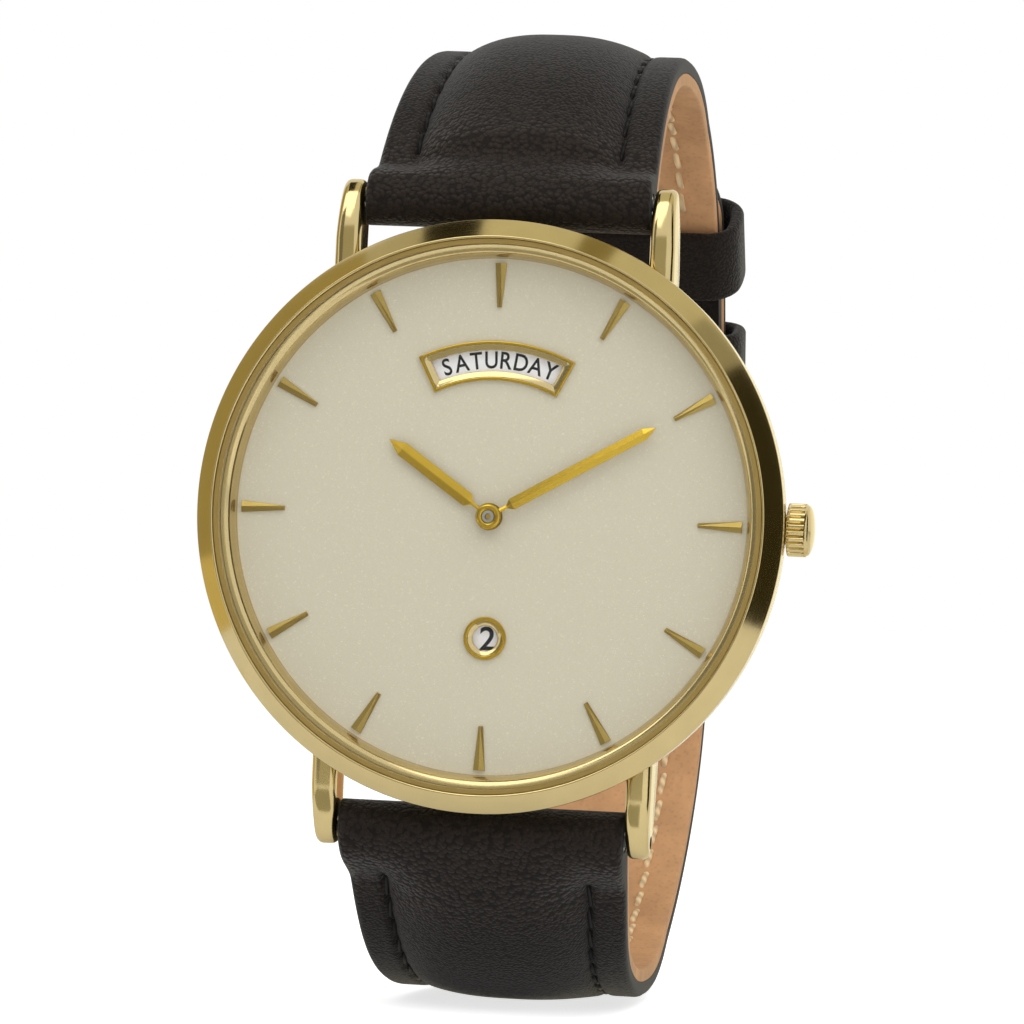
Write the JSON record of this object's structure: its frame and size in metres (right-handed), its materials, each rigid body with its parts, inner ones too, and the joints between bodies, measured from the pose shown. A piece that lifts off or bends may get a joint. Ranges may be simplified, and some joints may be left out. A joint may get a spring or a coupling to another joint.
{
  "type": "wristwatch",
  "caption": "Slim round wristwatch with faceted hands, day and date windows, a pull-out crown and a padded leather strap closed by a pin buckle.",
  "frame": {"origin": "middle of the wrist opening, on the case's axis, halfway between case back and strap", "axes": "+X along the wrist towards the crown at three o'clock, +Z towards twelve o'clock, the dial faces -Y"},
  "size_m": [0.0417, 0.0628, 0.0686],
  "materials": {
    "gold_case": "polished gold-coloured plating on steel",
    "gold_trim": "polished gold-coloured brass",
    "steel": "fine turned or ground steel",
    "movement_brass": "satin brass",
    "magnet": "dark sintered magnet",
    "copper": "enamelled copper winding",
    "crystal": "clear polished mineral glass",
    "dial_cream": "cream lacquer with a fine metallic sparkle",
    "calendar_white": "white lacquer with black printing",
    "white_plastic": "moulded plastic",
    "board": "printed circuit laminate",
    "seal": "moulded nitrile rubber",
    "black_leather": "fine pebbled grain, satin",
    "tan_leather": "smooth tan lining leather",
    "padding": "pressed felt"
  },
  "bodies": {
    "case": {"case_middle": "gold_case", "bezel": "gold_case", "crystal": "crystal", "crystal_gasket": "white_plastic", "dial_ring": "gold_trim", "case_back": "steel", "case_back_gasket": "seal", "crown_tube": "movement_brass", "dial": "dial_cream", "hour_markers": "gold_trim", "day_window_frame": "gold_trim", "date_window_frame": "gold_trim", "calendar_plate": "steel", "main_plate": "movement_brass", "train_bridge": "movement_brass", "movement_screws": "steel", "movement_holder": "white_plastic", "battery": "steel", "battery_clip": "steel", "circuit_board": "board", "quartz_resonator": "steel", "coil": "copper", "coil_core": "steel", "stator": "steel", "spring_bar_tubes": "steel", "spring_bar_springs": "steel", "upper_strap_leather": "black_leather", "upper_strap_padding": "padding", "upper_strap_lining": "tan_leather", "lower_strap_leather": "black_leather", "lower_strap_padding": "padding", "lower_strap_lining": "tan_leather", "fixed_keeper": "black_leather", "buckle_bar": "gold_case", "buckle_bar_spring": "steel"},
    "minute_hand": {"minute_hand": "gold_trim", "cannon_pinion": "steel", "centre_wheel": "movement_brass"},
    "hour_hand": {"hour_hand": "gold_trim", "hour_wheel": "movement_brass"},
    "minute_wheel": {"minute_wheel": "movement_brass"},
    "third_wheel": {"third_wheel": "movement_brass"},
    "rotor": {"rotor": "magnet"},
    "day_disc": {"day_disc": "calendar_white"},
    "date_disc": {"date_disc": "calendar_white"},
    "clutch_wheel": {"clutch_wheel": "steel"},
    "crown": {"crown": "gold_case", "crown_gasket": "seal", "stem": "steel"},
    "setting_lever": {"setting_lever": "steel"},
    "free_keeper": {"free_keeper": "black_leather"},
    "buckle_frame": {"buckle_frame": "gold_case"},
    "buckle_tongue": {"buckle_tongue": "gold_case"},
    "upper_bar_pin_left": {"upper_bar_pin_left": "steel"},
    "upper_bar_pin_right": {"upper_bar_pin_right": "steel"},
    "lower_bar_pin_left": {"lower_bar_pin_left": "steel"},
    "lower_bar_pin_right": {"lower_bar_pin_right": "steel"},
    "buckle_bar_pin_left": {"buckle_bar_pin_left": "steel"},
    "buckle_bar_pin_right": {"buckle_bar_pin_right": "steel"}
  },
  "joints": [
    {"name": "minute_hand_turn", "type": "hinge", "parent": "case", "child": "minute_hand", "pos_m": [0, -0.028, 0], "axis": [0, 1, 0], "continuous": true},
    {"name": "hour_hand_turn", "type": "hinge", "parent": "case", "child": "hour_hand", "pos_m": [0, -0.028, 0], "axis": [0, 1, 0], "continuous": true},
    {"name": "minute_wheel_turn", "type": "hinge", "parent": "case", "child": "minute_wheel", "pos_m": [0, -0.028, 0.003], "axis": [0, 1, 0], "continuous": true},
    {"name": "third_wheel_turn", "type": "hinge", "parent": "case", "child": "third_wheel", "pos_m": [-0.002, -0.027, 0.00346], "axis": [0, 1, 0], "continuous": true},
    {"name": "rotor_turn", "type": "hinge", "parent": "case", "child": "rotor", "pos_m": [-0.00457, -0.027, 0.00495], "axis": [0, 1, 0], "continuous": true},
    {"name": "day_disc_turn", "type": "hinge", "parent": "case", "child": "day_disc", "pos_m": [0, -0.0288, 0], "axis": [0, 1, 0], "continuous": true},
    {"name": "date_disc_turn", "type": "hinge", "parent": "case", "child": "date_disc", "pos_m": [0, -0.0288, 0], "axis": [0, 1, 0], "continuous": true},
    {"name": "crown_spin", "type": "hinge", "parent": "case", "child": "clutch_wheel", "pos_m": [0.0092, -0.0275, 0], "axis": [1, 0, 0], "continuous": true},
    {"name": "crown_pull", "type": "slide", "parent": "clutch_wheel", "child": "crown", "axis": [1, 0, 0], "range_m": [0, 0.0012]},
    {"name": "setting_lever_turn", "type": "hinge", "parent": "case", "child": "setting_lever", "pos_m": [0.011, -0.0282, 0.003], "axis": [0, -1, 0], "range_deg": [0, 23]},
    {"name": "free_keeper_slide", "type": "hinge", "parent": "case", "child": "free_keeper", "pos_m": [0, 0.00018, 0.00822], "axis": [1, 0, 0], "range_deg": [-4.5, 11]},
    {"name": "buckle_frame_swing", "type": "hinge", "parent": "case", "child": "buckle_frame", "pos_m": [0, 0.02686, 0.00524], "axis": [1, 0, 0], "range_deg": [0, 20]},
    {"name": "buckle_tongue_swing", "type": "hinge", "parent": "buckle_frame", "child": "buckle_tongue", "pos_m": [0, 0.02686, 0.00524], "axis": [1, 0, 0], "range_deg": [0, 30]},
    {"name": "upper_bar_pin_left_push", "type": "slide", "parent": "case", "child": "upper_bar_pin_left", "axis": [1, 0, 0], "range_m": [0, 0.00125], "stiffness_N_per_m": 400},
    {"name": "upper_bar_pin_right_push", "type": "slide", "parent": "case", "child": "upper_bar_pin_right", "axis": [-1, 0, 0], "range_m": [0, 0.00125], "stiffness_N_per_m": 400},
    {"name": "lower_bar_pin_left_push", "type": "slide", "parent": "case", "child": "lower_bar_pin_left", "axis": [1, 0, 0], "range_m": [0, 0.00125], "stiffness_N_per_m": 400},
    {"name": "lower_bar_pin_right_push", "type": "slide", "parent": "case", "child": "lower_bar_pin_right", "axis": [-1, 0, 0], "range_m": [0, 0.00125], "stiffness_N_per_m": 400},
    {"name": "buckle_bar_pin_left_push", "type": "slide", "parent": "case", "child": "buckle_bar_pin_left", "axis": [1, 0, 0], "range_m": [0, 0.0013], "stiffness_N_per_m": 400},
    {"name": "buckle_bar_pin_right_push", "type": "slide", "parent": "case", "child": "buckle_bar_pin_right", "axis": [-1, 0, 0], "range_m": [0, 0.0013], "stiffness_N_per_m": 400}
  ],
  "couplings": [
    {"joint": "hour_hand_turn", "follows": "minute_hand_turn", "ratio": 0.083333},
    {"joint": "minute_wheel_turn", "follows": "minute_hand_turn", "ratio": -0.33333},
    {"joint": "third_wheel_turn", "follows": "minute_hand_turn", "ratio": -9},
    {"joint": "rotor_turn", "follows": "minute_hand_turn", "ratio": 90},
    {"joint": "setting_lever_turn", "follows": "crown_pull", "rad_per_m": 333.33}
  ]
}
